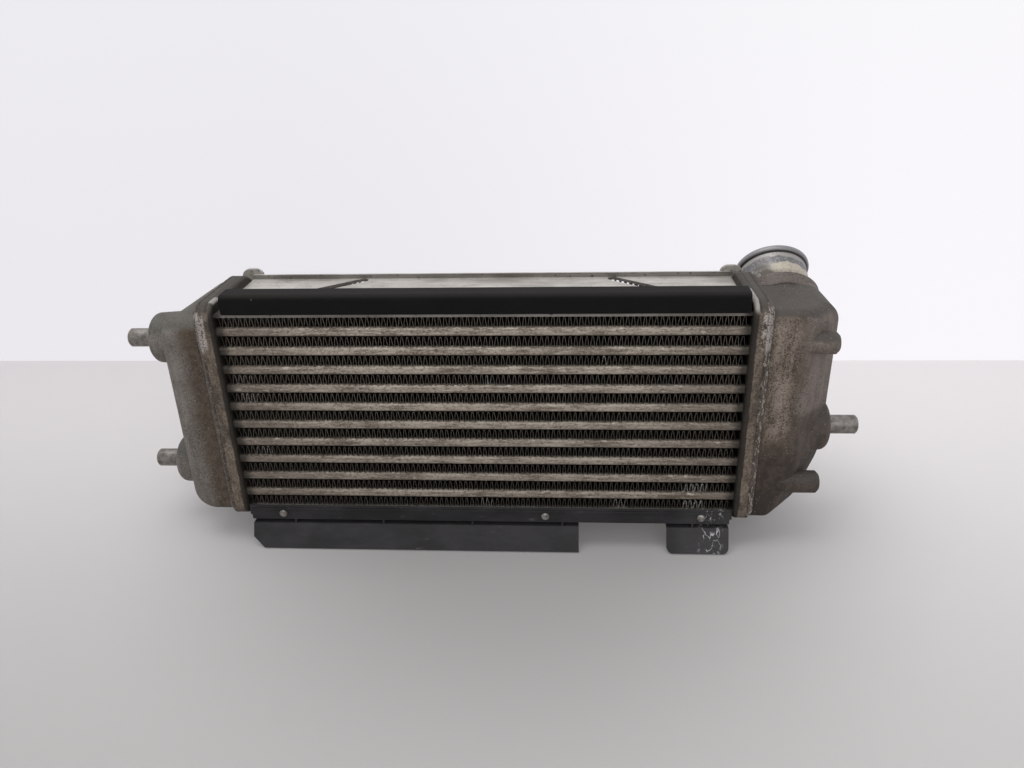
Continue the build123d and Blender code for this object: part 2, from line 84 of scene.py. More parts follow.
class Value:
    """A number socket that Python's arithmetic works on; each operation adds a Math node."""

    def __init__(self, graph: "Graph", socket: bpy.types.NodeSocket) -> None:
        """Wrap one output socket of a graph."""
        self.graph = graph
        self.socket = socket

    def _math(self, operation: str, first: Number, second: Number = 0.0) -> "Value":
        """Add a Math node and return its result."""
        node = self.graph.add("ShaderNodeMath", {"operation": operation}, {0: first, 1: second})
        return Value(self.graph, node.outputs[0])

    def __add__(self, other: Number) -> "Value":
        """Sum."""
        return self._math("ADD", self, other)

    __radd__ = __add__

    def __sub__(self, other: Number) -> "Value":
        """Difference."""
        return self._math("SUBTRACT", self, other)

    def __rsub__(self, other: Number) -> "Value":
        """Difference, with this value taken away."""
        return self._math("SUBTRACT", other, self)

    def __mul__(self, other: Number) -> "Value":
        """Product."""
        return self._math("MULTIPLY", self, other)

    __rmul__ = __mul__

    def __pow__(self, other: Number) -> "Value":
        """Power."""
        return self._math("POWER", self, other)

    def largest(self, other: Number) -> "Value":
        """The larger of two numbers."""
        return self._math("MAXIMUM", self, other)

    def size(self) -> "Value":
        """The number without its sign."""
        return self._math("ABSOLUTE", self)

    def rise(self, low: float, high: float) -> "Value":
        """A smooth step.

        Args:
            low: The number where the step leaves 0.
            high: The number where it reaches 1; it may be below low.

        Returns:
            A value from 0 to 1.
        """
        flipped = high < low
        near, far = (high, low) if flipped else (low, high)
        node = self.graph.add(
            "ShaderNodeMapRange",
            {"interpolation_type": "SMOOTHSTEP"},
            {"Value": self, "From Min": near, "From Max": far},
        )
        step = Value(self.graph, node.outputs["Result"])
        return 1 - step if flipped else step

    def band(self, low: float, high: float, soft: float) -> "Value":
        """1 between low and high, falling to 0 over soft on both sides."""
        return self.rise(low - soft, low) * self.rise(high + soft, high)


class Graph:
    """A material's node tree, built from Python expressions."""

    def __init__(self, name: str) -> None:
        """Start an empty material."""
        self.material = bpy.data.materials.new(name)
        self.material.use_nodes = True
        self.tree = self.material.node_tree
        self.tree.nodes.clear()
        self.place = self.add("ShaderNodeTexCoord").outputs["Object"]
        self._axes = self.add("ShaderNodeSeparateXYZ", None, {0: self.place})
        facing = self.add("ShaderNodeNewGeometry").outputs["Normal"]
        self._facing = self.add("ShaderNodeSeparateXYZ", None, {0: facing})

    def add(
        self,
        kind: str,
        settings: dict[str, Any] | None = None,
        inputs: dict[Union[str, int], Any] | None = None,
    ) -> bpy.types.Node:
        """Add a node.

        Args:
            kind: Blender's node type.
            settings: Attributes that are set first.
            inputs: Socket name or number to a number, colour, socket or Value.

        Returns:
            The new node.
        """
        node = self.tree.nodes.new(kind)
        for key, value in (settings or {}).items():
            setattr(node, key, value)
        for key, value in (inputs or {}).items():
            self._feed(node.inputs[key], value)
        return node

    def _feed(self, socket: bpy.types.NodeSocket, value: Any) -> None:
        """Link or set one input socket.

        Args:
            socket: The input.
            value: A Value or socket to link, or a number or colour to set.
        """
        if isinstance(value, Value):
            self.tree.links.new(value.socket, socket)
        elif isinstance(value, bpy.types.NodeSocket):
            self.tree.links.new(value, socket)
        elif isinstance(value, tuple) and socket.type == "RGBA":
            socket.default_value = (*value[:3], 1.0)
        else:
            socket.default_value = value

    def axis(self, letter: str) -> Value:
        """The point's X, Y or Z in the part's frame, in metres."""
        return Value(self, self._axes.outputs[letter])

    def facing(self, letter: str) -> Value:
        """How far the surface faces along X, Y or Z, from -1 to 1."""
        return Value(self, self._facing.outputs[letter])

    def stretched(self, stretch: Point, shift: Point = (0, 0, 0)) -> bpy.types.NodeSocket:
        """The point's place, scaled by stretch and moved by shift."""
        return self.add(
            "ShaderNodeMapping", None,
            {"Vector": self.place, "Scale": stretch, "Location": shift},
        ).outputs["Vector"]

    def noise(
        self, grain_mm: float, detail: float = 3.0, stretch: Point = (1, 1, 1), shift: float = 0.0,
    ) -> Value:
        """Cloudy noise from 0 to 1.

        Args:
            grain_mm: Size of one cloud in millimetres.
            detail: How many finer layers are added.
            stretch: Scale along X, Y and Z; a small number draws the clouds out.
            shift: Moves the pattern so that two noises differ.

        Returns:
            The noise value.
        """
        node = self.add(
            "ShaderNodeTexNoise", None,
            {"Vector": self.stretched(stretch, (shift, shift, shift)),
             "Scale": 1000 / grain_mm, "Detail": detail, "Roughness": 0.6},
        )
        return Value(self, node.outputs["Fac"])

    def cells(self, grain_mm: float, shift: float = 0.0) -> Value:
        """Distance to the nearest of many scattered points, 0 at each point."""
        node = self.add(
            "ShaderNodeTexVoronoi", None,
            {"Vector": self.stretched((1, 1, 1), (shift, shift, shift)), "Scale": 1000 / grain_mm},
        )
        return Value(self, node.outputs["Distance"])

    def mix(self, share: Number, first: Any, second: Any) -> bpy.types.NodeSocket:
        """A colour between first, at a share of 0, and second, at 1."""
        # Inputs 6 and 7 and output 2 are the colour sockets; lower ones are for numbers.
        node = self.add(
            "ShaderNodeMix", {"data_type": "RGBA", "clamp_factor": True},
            {0: share, 6: first, 7: second},
        )
        return node.outputs[2]

    def bump(self, height: Value, depth_mm: float, strength: float = 1.0) -> bpy.types.NodeSocket:
        """A normal raised by height, which runs from 0 to 1 over depth_mm."""
        return self.add(
            "ShaderNodeBump", None,
            {"Height": height, "Distance": depth_mm * MM, "Strength": strength},
        ).outputs["Normal"]

    def surface(self, **sockets: Any) -> bpy.types.Material:
        """End the graph in one Principled BSDF.

        Args:
            sockets: Socket names, with underscores for spaces, and their values.

        Returns:
            The finished material.
        """
        inputs = {name.replace("_", " "): value for name, value in sockets.items()}
        shader = self.add("ShaderNodeBsdfPrincipled", None, inputs)
        self.add("ShaderNodeOutputMaterial", None, {"Surface": shader.outputs["BSDF"]})
        return self.material


@dataclass(frozen=True)
class CastAluminium:
    """Sand-cast tank metal: welded foot, brown front, grey outer side, dark top, fine pits, darker
    round the boss and low down, painted shade in the top crease and a painted highlight on the
    weld.
    """

    name: str
    weld_x: float
    outward: float
    header_top: float
    grey_from: float
    field: float
    # Strength on this side of the darkening round the boss and low down, of the painted crease
    # shade and of the ragged painted highlight.
    grime: float
    boss_below: float
    crease_y: float
    top: Colour
    # Strength of the painted highlight on the weld seam.
    shine: float
    grey: Colour
    grey_dark: Colour
    foot: float = 5.6 * MM
    brown: Colour = tone(100, 87, 75)
    brown_dark: Colour = tone(68, 57, 47)
    beige: Colour = tone(150, 137, 126)
    soot: Colour = tone(48, 42, 38)
    rust: Colour = tone(86, 71, 62)
    pale: Colour = tone(188, 182, 172)
    weld: Colour = tone(122, 111, 100)
    silver: Colour = tone(196, 188, 184)

    def build(self) -> bpy.types.Material:
        """Build the material."""
        g = Graph(self.name)
        out = (g.axis("X") - self.weld_x) * self.outward
        below = self.header_top - g.axis("Z")
        up, front = g.facing("Z").rise(0.25, 0.65), g.facing("Y").rise(-0.2, -0.7)
        cloud, medium = g.noise(17, 4), g.noise(4.5, 4, shift=7.7)
        fine, drift = g.noise(1.1, 4, shift=3.1), g.noise(8, 3, (1, 1, 0.3), shift=1.9)
        wander = (cloud - 0.5) * 22 * MM
        base = g.mix((medium * 0.45 + fine * 0.55).rise(0.36, 0.64), self.brown_dark, self.brown)
        grey = g.mix((fine * 0.6 + drift * 0.4).rise(0.38, 0.62), self.grey_dark, self.grey)
        greyed = (out + wander * 0.6).rise(self.grey_from, self.grey_from + 13 * MM)
        base = g.mix(greyed, base, grey)
        clean = (out + wander * 0.8).band(11 * MM, 21 * MM, 8 * MM)
        clean = clean * (below + wander).band(20 * MM, 98 * MM, 20 * MM) * front * self.field
        base = g.mix(clean * (drift * 0.6 + fine * 0.4).rise(0.36, 0.6), base, self.beige)
        # Darker round the boss and towards the bottom, in soot and rust.
        boss = (below - self.boss_below).size().rise(27 * MM, 19 * MM) * out.rise(20 * MM, 34 * MM)
        darkening = g.mix((drift * 0.5 + medium * 0.5).rise(0.42, 0.58) * 0.6, self.soot, self.rust)
        base = g.mix(boss * self.grime * (0.55 + 0.3 * fine), base, darkening)
        low = (below + wander * 1.4).rise(104 * MM, 140 * MM) * self.grime
        base = g.mix(low * (0.7 + 0.3 * medium), base, darkening)
        behind = g.axis("Y") - self.crease_y
        lid = g.mix(behind.rise(0, 3 * MM) * 0.5, self.top, self.grey)
        lid = g.mix(fine.rise(0.5, 0.62) * 0.4, lid, self.soot)
        # Painted shade in the soot colour, in the crease where the neck meets the top.
        crease = behind.size().rise(1.1 * MM, 0.4 * MM) * out.rise(36 * MM, 32 * MM)
        lid = g.mix(crease * self.grime, lid, self.soot)
        base = g.mix(up * (0.85 + 0.15 * medium), base, lid)
        pits = g.noise(1.4, 2, shift=6.4).rise(0.54, 0.62) * (cloud + clean * 0.16).rise(0.42, 0.62)
        base = g.mix(pits * 0.62, base, self.soot)
        specks = g.cells(2.7, 4.0).rise(0.17, 0.06) * g.noise(12, 2, shift=5.0).rise(0.42, 0.6)
        base = g.mix(specks * 0.65, base, self.pale)
        seam = (out + (medium - 0.5) * 2 * MM).rise(self.foot, self.foot - 0.8 * MM)
        base = g.mix(seam * 0.8, base, g.mix(fine.rise(0.4, 0.6), self.soot, self.weld))
        rag = (out - self.foot + (medium - 0.5) * 3 * MM).size().rise(0.8 * MM, 0.2 * MM)
        base = g.mix(rag * 0.7, base, self.soot)
        # Painted highlight in silver on the weld seam's front below the top, with ragged patches on
        # the right side.
        bright = seam * front * (below + wander * 0.4).band(9 * MM, 30 * MM, 8 * MM)
        bright = bright * (medium * 0.4 + fine * 0.6).rise(0.44, 0.56) * self.shine
        ragged = g.noise(2.4, 4, (1, 1, 0.5), shift=9.4).rise(0.53, 0.6) * seam * front
        bright = bright.largest(ragged * (0.2 + self.grime * 0.5))
        base = g.mix(bright, base, self.silver)
        height = fine * 0.7 + medium * 0.3 - pits * 0.8 + specks * 0.4
        return g.surface(
            Base_Color=base,
            Metallic=0.2 + bright * 0.5,
            Roughness=0.66 + fine * 0.12 - bright * 0.25,
            Normal=g.bump(height, 0.4, 0.75),
        )


@dataclass(frozen=True)
class HeaderSheet:
    """Formed header pan: speckled brown front, painted shade on the bend, painted highlight near
    the weld, dark top with a pale end and tab.
    """

    name: str
    core_face_x: float
    outward: float
    front_y: float
    back_y: float
    top_z: float
    bend_shade_depth: float
    pale_from: float
    pale_to: float
    light: Colour = tone(126, 114, 102)
    brown: Colour = tone(86, 73, 62)
    soot: Colour = tone(30, 26, 23)
    olive: Colour = tone(66, 62, 56)
    pale: Colour = tone(164, 159, 153)
    pale_depth: float = 4.6 * MM
    silver: Colour = tone(184, 176, 172)

    def build(self) -> bpy.types.Material:
        """Build the material."""
        g = Graph(self.name)
        mottle, speck = g.noise(4, 5, (1, 1, 0.6), shift=2.2), g.noise(1.3, 3, shift=4.4)
        depth = (g.axis("X") - self.core_face_x) * self.outward
        forward = g.axis("Y") - self.front_y
        base = g.mix((mottle * 0.5 + speck * 0.5).rise(0.38, 0.6), self.brown, self.light)
        broad = g.noise(10, 3, (1, 1, 0.6), shift=1.2).rise(0.44, 0.62)
        base = g.mix(broad * 0.45, base, self.soot)
        flecks = g.cells(1.9, 2.0).rise(0.2, 0.08)
        base = g.mix(flecks * 0.6, base, self.pale)
        pits = g.cells(2.3, 6.0).rise(0.3, 0.14) * mottle.rise(0.42, 0.56)
        base = g.mix(pits * 0.75, base, self.soot)
        wander = (mottle - 0.5) * 1.6 * MM
        # Painted shade on the bend beside the core, in the soot colour.
        base = g.mix((depth + wander).rise(self.bend_shade_depth + 1 * MM, self.bend_shade_depth) * 0.88,
                     base, self.soot)
        below = self.top_z - g.axis("Z")
        # Painted highlight in silver on the front near the weld, below the top.
        shine = (below + wander * 4).band(11 * MM, 30 * MM, 6 * MM) * depth.rise(5.5 * MM, 7 * MM)
        shine = shine * g.facing("Y").rise(-0.2, -0.7)
        shine = shine * (mottle * 0.4 + speck * 0.6).rise(0.44, 0.56)
        base = g.mix(shine * 0.85, base, self.silver)
        up = g.facing("Z").rise(0.25, 0.7) * below.rise(14 * MM, 9 * MM)
        bare = (forward + wander).band(self.pale_from, self.pale_to, 2 * MM)
        bare = bare * (depth + wander * 0.5).rise(self.pale_depth, self.pale_depth - 0.8 * MM)
        lid = g.mix(bare, self.olive, self.pale)
        groove = (depth - self.pale_depth + wander * 0.5).size().rise(1.0 * MM, 0.4 * MM)
        lid = g.mix((groove + pits * 0.5) * 0.75, lid, self.soot)
        base = g.mix(up * (0.75 + 0.25 * speck), base, lid)
        tab = (self.back_y - g.axis("Y")).rise(5 * MM, 3.4 * MM)
        tab = tab * below.rise(17 * MM, 12 * MM)
        tab_metal = g.mix(mottle.rise(0.5, 0.64) * 0.6, self.pale, self.olive)
        base = g.mix(tab, base, tab_metal)
        return g.surface(
            Base_Color=base,
            Metallic=0.25,
            Roughness=0.6 + mottle * 0.12,
            Normal=g.bump(mottle * 0.4 + speck * 0.5 - pits * 0.6, 0.25, 0.7),
        )


def fade_to_header(g: Graph, centre_x: float, half: float) -> Value:
    """Grime and painted shade on the core, from 0 in the middle to 1 where it meets a header."""
    reach = (g.axis("X") - centre_x).size() + (g.noise(6, 3, shift=8.8) - 0.5) * 6 * MM
    return reach.rise(half - 9 * MM, half - 2 * MM)


@dataclass(frozen=True)
class TubeMetal:
    """Flat tube stock: marks drawn along it, brown spots, pale scuffs, painted shade behind its
    front and underneath, darker towards the bottom.
    """

    name: str
    front_y: float
    centre_x: float
    half: float
    lighter_above: float = 0.2
    darkest_below: float = 0.02
    light: Colour = tone(192, 181, 168)
    dark: Colour = tone(108, 97, 86)
    brown: Colour = tone(70, 59, 49)
    soot: Colour = tone(34, 30, 26)
    scuff: Colour = tone(206, 201, 192)
    depth: Colour = tone(12, 10, 9)

    def build(self) -> bpy.types.Material:
        """Build the material."""
        g = Graph(self.name)
        drawn = g.noise(1.6, 4, (0.12, 1, 1))
        grain = g.noise(1.0, 3, (0.5, 1, 1), shift=3.3)
        patch = g.noise(14, 4, (0.5, 1, 1), shift=6.0)
        spots = g.noise(2.0, 4, (0.7, 1, 1), shift=2.7).rise(0.55, 0.66)
        scuffs = g.noise(3.0, 5, (0.35, 1, 1), shift=9.1).rise(0.6, 0.69)
        tarnish = drawn * 0.34 + grain * 0.34 + patch * 0.32
        base = g.mix(tarnish.rise(0.38, 0.6), self.dark, self.light)
        ends = (g.axis("X") - self.centre_x).size() + (patch - 0.5) * 180 * MM
        base = g.mix(ends.rise(self.half - 80 * MM, self.half - 10 * MM) * 0.5, base, self.brown)
        # Darker towards the bottom.
        base = g.mix(g.axis("Z").rise(self.lighter_above, self.darkest_below) * 0.3, base, self.brown)
        # Painted shade on faces that look down, in brown.
        under = g.facing("Z").rise(-0.3, -0.8)
        base = g.mix(under * 0.6, base, self.brown)
        base = g.mix(spots * 0.62, base, self.brown)
        base = g.mix(scuffs * 0.6, base, self.scuff)
        # Grime and painted shade beside the headers.
        base = g.mix(fade_to_header(g, self.centre_x, self.half) * 0.8, base, self.soot)
        # Painted shade on the tube behind its front face.
        inside = (g.axis("Y") - self.front_y).rise(2 * MM, 4.5 * MM)
        base = g.mix(inside * 0.9, base, self.depth)
        return g.surface(
            Base_Color=base,
            Metallic=(0.3 + scuffs * 0.3) * (1 - inside),
            Roughness=0.56 + patch * 0.18 - scuffs * 0.15,
            Normal=g.bump(drawn * 0.6 + spots * 0.4, 0.2, 0.7),
        )


@dataclass(frozen=True)
class FinMetal:
    """Thin fin sheet, sooty, with painted shade deeper inside, lighter on its cut edge and a
    painted highlight where it was bent.
    """

    name: str
    edge_y: float
    centre_x: float
    half: float
    soot: Colour = tone(17, 15, 13)
    brown: Colour = tone(36, 31, 27)
    edge: Colour = tone(122, 114, 104)
    depth: Colour = tone(6, 5, 5)
    bright: Colour = tone(226, 224, 219)

    def build(self) -> bpy.types.Material:
        """Build the material."""
        g = Graph(self.name)
        patch = g.noise(11, 4)
        fine = g.noise(1.5, 3, shift=5.5)
        base = g.mix(patch.rise(0.4, 0.65), self.soot, self.brown)
        # Painted shade deeper behind the cut edge.
        base = g.mix((g.axis("Y") - self.edge_y).rise(0.8 * MM, 3 * MM) * 0.75, base, self.depth)
        edge = (g.axis("Y") - self.edge_y).rise(0.9 * MM, 0.2 * MM)
        # The lighter edge dims beside the headers, with grime and painted shade.
        edge = edge * (1 - 0.8 * fade_to_header(g, self.centre_x, self.half))
        edge = edge * (1 - g.axis("Z").rise(0.16, 0.05) * 0.35)
        base = g.mix(edge * (0.35 + 0.65 * fine.rise(0.35, 0.6)), base, self.edge)
        # The worn attribute holds the strength of a painted highlight on pushed-over fins.
        worn = g.add("ShaderNodeAttribute", {"attribute_name": "worn"}).outputs["Fac"]
        bent = Value(g, worn) * fine.rise(0.4, 0.55) * 0.85
        base = g.mix(bent, base, self.bright)
        return g.surface(
            Base_Color=base,
            Metallic=0.25 + bent * 0.4,
            Roughness=0.6 - bent * 0.2,
            Normal=g.bump(fine, 0.08, 0.5),
        )


@dataclass(frozen=True)
class PlateMetal:
    """Rolled side plate, pale with dust, water marks and fine lengthwise scratches, with painted
    shade on its front faces, behind its front under the core and near the headers.
    """

    name: str
    front_y: float
    centre_x: float
    half: float
    pale: Colour = tone(196, 192, 186)
    grey: Colour = tone(150, 145, 138)
    stain: Colour = tone(104, 97, 88)
    edge: Colour = tone(72, 66, 60)
    soot: Colour = tone(30, 27, 24)

    def build(self) -> bpy.types.Material:
        """Build the material."""
        g = Graph(self.name)
        cloud = g.noise(30, 4, (0.6, 1, 1))
        drawn = g.noise(1.8, 3, (0.05, 1, 1), shift=3.3)
        spots = g.noise(3.2, 5, shift=6.6).rise(0.58, 0.7)
        base = g.mix((cloud * 0.65 + drawn * 0.35).rise(0.36, 0.62), self.grey, self.pale)
        base = g.mix(spots * 0.5, base, self.stain)
        behind = g.axis("Y") - self.front_y
        # Painted shade on faces that look forward and along the front strip.
        edge = g.facing("Y").rise(-0.4, -0.9).largest(behind.rise(3.4 * MM, 2.2 * MM))
        corner = fade_to_header(g, self.centre_x, self.half) * behind.rise(16 * MM, 12 * MM)
        base = g.mix(edge * (0.6 + 0.4 * spots), base, self.edge)
        # Painted shade on the bottom plate behind its front under the core, with grime and painted
        # shade near the headers, in the soot colour.
        inside = behind.rise(2 * MM, 4.5 * MM) * g.axis("Z").rise(60 * MM, 40 * MM)
        base = g.mix(corner.largest(inside) * 0.85, base, self.soot)
        return g.surface(
            Base_Color=base,
            Metallic=0.45,
            Roughness=0.42 + cloud * 0.2,
            Normal=g.bump(drawn * 0.5 + spots * 0.5, 0.12, 0.5),
        )


@dataclass(frozen=True)
class FoamRubber:
    """Closed-cell foam strip, near black, with open pores, rub marks and dust on top."""

    name: str = "foam_rubber"
    black: Colour = tone(11, 10, 10)
    worn: Colour = tone(22, 21, 20)
    dust: Colour = tone(38, 36, 34)
    scuff: Colour = tone(170, 168, 164)
    scuff_place: Point = (0.0, 0.0, 0.0)

    def build(self) -> bpy.types.Material:
        """Build the material."""
        g = Graph(self.name)
        cloud = g.noise(14, 4, (0.4, 1, 1))
        pores = g.cells(0.9, 1.3).rise(0.35, 0.1)
        top = g.facing("Z").rise(0.3, 0.9)
        base = g.mix(cloud.rise(0.45, 0.7) * 0.4, self.black, self.worn)
        base = g.mix(top * (0.35 + 0.65 * cloud), base, self.dust)
        base = g.mix(pores * 0.5, base, self.black)
        away = [(g.axis(a) - p) ** 2 for a, p in zip("XYZ", self.scuff_place)]
        near = (sum(away) ** 0.5 + (cloud - 0.5) * 2 * MM).rise(1.2 * MM, 0.4 * MM)
        base = g.mix(near * (0.3 + pores * 0.4), base, self.scuff)
        return g.surface(
            Base_Color=base,
            Roughness=0.84 + cloud * 0.1,
            Specular_IOR_Level=0.25,
            Normal=g.bump(cloud * 0.6 - pores * 0.4, 0.25, 0.6),
        )


@dataclass(frozen=True)
class DeflectorPlastic:
    """Moulded charcoal plastic with a fine grain, dust, wipe marks and white scratches."""

    name: str
    scratch_x: float
    scratch_width: float = 0.022
    charcoal: Colour = tone(46, 44, 47)
    dark: Colour = tone(29, 28, 30)
    dust: Colour = tone(104, 101, 103)
    white: Colour = tone(212, 212, 214)

    def build(self) -> bpy.types.Material:
        """Build the material."""
        g = Graph(self.name)
        grain = g.cells(0.8, 2.0)
        cloud = g.noise(22, 4, (0.5, 1, 1))
        wipe = g.noise(3, 5, (0.25, 1, 1), shift=4.1)
        base = g.mix(cloud.rise(0.35, 0.65), self.dark, self.charcoal)
        up = g.facing("Z").rise(0.2, 0.7)
        base = g.mix(up * 0.3 * wipe, base, self.dust)
        base = g.mix(wipe.rise(0.64, 0.72) * 0.35, base, self.dust)
        aside = (g.axis("X") - self.scratch_x).size()
        base = g.mix(aside.rise(32 * MM, 18 * MM) * 0.14, base, self.dust)
        curls = (g.noise(6.5, 2, (1.3, 1, 0.6), shift=7.0) - 0.5).size().rise(0.028, 0.008)
        specks = g.noise(1.2, 3, shift=2.2).rise(0.66, 0.7) * 0.7
        near = aside.rise(self.scratch_width / 2, self.scratch_width / 5)
        scratches = (curls * g.noise(9, 2, shift=1.1).rise(0.44, 0.54)).largest(specks) * near
        base = g.mix(scratches * 0.7, base, self.white)
        return g.surface(
            Base_Color=base,
            Roughness=0.52 + cloud * 0.14 + scratches * 0.2,
            Specular_IOR_Level=0.35,
            Normal=g.bump(grain * 0.6 - scratches, 0.06, 0.6),
        )


@dataclass(frozen=True)
class TurnedSteel:
    """Turned steel with ring marks, brown film and bright wear; used for pins and rivets."""

    name: str
    bright: Colour = tone(148, 144, 140)
    film: Colour = tone(106, 100, 94)
    stain: Colour = tone(58, 50, 43)

    def build(self) -> bpy.types.Material:
        """Build the material."""
        g = Graph(self.name)
        rings = g.noise(0.8, 2, (1, 0.1, 0.1))
        film = g.noise(5, 4, shift=3.0)
        spots = g.noise(1.8, 4, shift=6.1).rise(0.58, 0.7)
        base = g.mix(film.rise(0.3, 0.7), self.film, self.bright)
        base = g.mix(spots * 0.4, base, self.stain)
        return g.surface(
            Base_Color=base,
            Metallic=0.75,
            Roughness=0.38 + film * 0.16 + spots * 0.15,
            Normal=g.bump(rings * 0.6 + spots * 0.4, 0.05, 0.5),
        )


@dataclass(frozen=True)
class PipeMetal:
    """Dull drawn pipe: pale bead, dark line, blue-grey stain, straw patch, grime low down."""

    name: str
    rim: Point
    along: Point
    bead: Colour = tone(142, 140, 142)
    silver: Colour = tone(164, 160, 158)
    stain: Colour = tone(106, 105, 107)
    straw: Colour = tone(190, 181, 162)
    grime: Colour = tone(92, 86, 78)
    line: Colour = tone(58, 56, 57)

    def build(self) -> bpy.types.Material:
        """Build the material."""
        g = Graph(self.name)
        depth = sum(
            (g.axis(letter) - start) * -step
            for letter, start, step in zip("XYZ", self.rim, self.along)
        )
        cloud, fine = g.noise(8, 4), g.noise(1.6, 4, shift=5.2)
        side = (g.axis("X") - self.rim[0]).rise(-14 * MM, -2 * MM)
        wander = (cloud - 0.5) * 9 * MM
        base = g.mix(fine.rise(0.5, 0.7) * 0.4, self.silver, self.stain)
        base = g.mix(depth.rise(5.2 * MM, 4.2 * MM), base, self.bead)
        band = (depth + wander).band(10.5 * MM, 15 * MM, 2 * MM)
        base = g.mix(band * (0.45 + 0.55 * fine.rise(0.35, 0.55)), base, self.stain)
        low = (depth + wander).rise(15 * MM, 17.5 * MM)
        patch = low * side * (1 - fine.rise(0.48, 0.6) * 0.7)
        base = g.mix(patch * 0.85, base, self.straw)
        darkening = low * (1 - side) + (depth + wander).rise(21 * MM, 26 * MM) * (1 - side * 0.5)
        base = g.mix(darkening * cloud.rise(0.3, 0.5) * 0.85, base, self.grime)
        groove = (depth - 5.4 * MM).size().rise(0.9 * MM, 0.35 * MM)
        base = g.mix(groove * 0.85, base, self.line)
        return g.surface(
            Base_Color=base,
            Metallic=0.55 - low * 0.2,
            Roughness=0.42 + cloud * 0.12 + low * 0.1,
            Normal=g.bump(fine, 0.06, 0.45),
        )


@dataclass(frozen=True)
class WeldMetal:
    """Weld bead, dull brown and pitted, with a painted highlight on its front near the top."""

    name: str
    header_top: float
    ragged: float
    bright: Colour = tone(186, 178, 174)
    dull: Colour = tone(104, 93, 83)
    soot: Colour = tone(42, 37, 33)

    def build(self) -> bpy.types.Material:
        """Build the material."""
        g = Graph(self.name)
        patch, fine = g.noise(4, 4), g.noise(1.1, 3, shift=4.0)
        below = self.header_top - g.axis("Z")
        front = g.facing("Y").rise(-0.1, -0.5)
        base = g.mix((patch * 0.4 + fine * 0.6).rise(0.4, 0.58), self.soot, self.dull)
        # Painted highlight on the front below the top, with ragged patches.
        shine = front * (below + (patch - 0.5) * 12 * MM).band(9 * MM, 32 * MM, 8 * MM)
        ragged = g.noise(2.6, 3, (1, 1, 0.5), shift=9.4).rise(0.54, 0.6) * front * self.ragged
        shine = (shine * fine.rise(0.34, 0.5)).largest(ragged * fine.rise(0.36, 0.5))
        base = g.mix(shine * 0.9, base, self.bright)
        base = g.mix(g.facing("Z").rise(0.4, 0.8) * 0.7, base, self.soot)
        return g.surface(
            Base_Color=base,
            Metallic=0.3 + shine * 0.4,
            Roughness=0.6 - shine * 0.2,
            Normal=g.bump(fine, 0.25, 0.7),
        )


@dataclass(frozen=True)
class PlainGround:
    """Matt board toned left to right and near to far as painted light falloff, with a painted
    shadow pool if asked for.
    """

    name: str
    left: Colour
    right: Colour
    near_left: Colour
    near_right: Colour
    near_at: float
    far_at: float
    axis: str
    glow: float
    shade: Colour = tone(128, 126, 125)
    shade_depth: float = 0.0
    shade_place: tuple[float, float] = (0.03, -0.06)
    shade_near: float = 0.07
    shade_far: float = 0.34

    def build(self) -> bpy.types.Material:
        """Build the material."""
        g = Graph(self.name)
        across = g.axis("X").rise(-0.3, 0.5)
        share = g.axis(self.axis).rise(self.near_at, self.far_at)
        grain = g.noise(40, 3)
        # The change from left to right and from far to near is painted light falloff.
        colour = g.mix(across, self.left, self.right)
        near = g.mix(across, self.near_left, self.near_right)
        colour = g.mix(share + (grain - 0.5) * 0.03, near, colour)
        # Painted shadow pool round shade_place, darkest within shade_near.
        away_x, away_y = ((g.axis(a) - p) ** 2 for a, p in zip("XY", self.shade_place))
        pool = ((away_x + away_y) ** 0.5).rise(self.shade_far, self.shade_near)
        colour = g.mix(pool * self.shade_depth, colour, self.shade)
        board = g.add("ShaderNodeBsdfDiffuse", None, {"Color": colour})
        light = g.add("ShaderNodeEmission", None, {"Color": colour, "Strength": 1.0})
        path = g.add("ShaderNodeLightPath")
        seen = Value(g, path.outputs["Is Camera Ray"])
        seen = seen.largest(Value(g, path.outputs["Is Glossy Ray"]))
        blend = g.add(
            "ShaderNodeMixShader", None,
            {0: seen * self.glow, 1: board.outputs["BSDF"], 2: light.outputs["Emission"]},
        )
        g.add("ShaderNodeOutputMaterial", None, {"Surface": blend.outputs["Shader"]})
        return g.material


def mesh_piece(name: str, vertices: Sequence[Point], faces: Sequence[Sequence[int]],
               material: bpy.types.Material) -> bpy.types.Object:
    """Make a mesh object that rides on the part.

    Args:
        name: The piece's name.
        vertices: Points in metres in the part's frame.
        faces: Corner numbers of each face.
        material: The piece's finish.

    Returns:
        The new object.
    """
    mesh = bpy.data.meshes.new(name)
    mesh.from_pydata(vertices, [], faces)
    mesh.update()
    piece = bpy.data.objects.new(name, mesh)
    bpy.context.scene.collection.objects.link(piece)
    mesh.materials.append(material)
    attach(piece, ROOT)
    LOG.info("built %s", name)
    return piece


def dress(nodes: Iterable[str], material: bpy.types.Material) -> None:
    """Give CAD nodes a finish, leaving their meshes as they are.

    Args:
        nodes: Names of the nodes.
        material: Their finish.
    """
    for node in nodes:
        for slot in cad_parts[node].material_slots:
            slot.material = material
        LOG.info("dressed %s with %s", node, material.name)


@dataclass(frozen=True)
class Dent:
    """A stretch of a fin row whose cut edge was pushed over and carries a painted highlight.

    Rows count from the top. Start and end are measured from the row's middle along X.
    """

    row: int
    start: float
    end: float
    push: float
    shine: float


